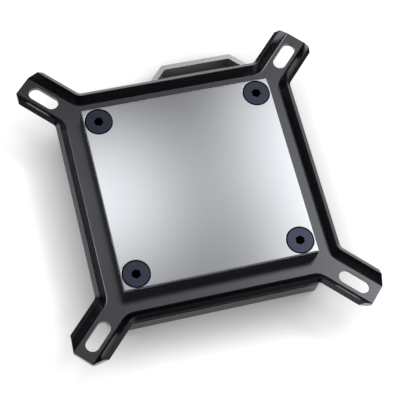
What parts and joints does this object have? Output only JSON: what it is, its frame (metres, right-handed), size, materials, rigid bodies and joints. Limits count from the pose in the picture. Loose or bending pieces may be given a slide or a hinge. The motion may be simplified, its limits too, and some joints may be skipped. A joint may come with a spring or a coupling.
{
  "type": "cpu water block",
  "caption": "Liquid cooler that clamps a finned nickel-plated copper cold plate on a processor, with a slotted cross bracket, threaded ports and an open side loop.",
  "frame": {"origin": "on the port face that the part lies on, under the middle of the cold plate", "axes": "+Z from the port face to the cold plate's contact face, +Y towards the side loop, +X from the inlet port to the outlet port"},
  "size_m": [0.0914, 0.0929, 0.0221],
  "materials": {
    "bracket_black": "satin black coating on sheet steel",
    "plate_nickel": "satin nickel plating on copper",
    "screw_black": "black oxide on steel",
    "cover_metal": "fine satin",
    "block_plastic": "machined black acetal",
    "seal_rubber": "matt",
    "jet_steel": "thin stainless sheet",
    "insert_plastic": "moulded dark grey"
  },
  "bodies": {
    "root": {"mounting_bracket": "bracket_black", "cold_plate": "plate_nickel", "base_screws": "screw_black", "cover": "cover_metal", "cover_screws": "screw_black", "top_block": "block_plastic", "base_gasket": "seal_rubber", "jet_plate": "jet_steel", "jet_insert": "insert_plastic", "insert_gasket": "seal_rubber"}
  },
  "joints": []
}
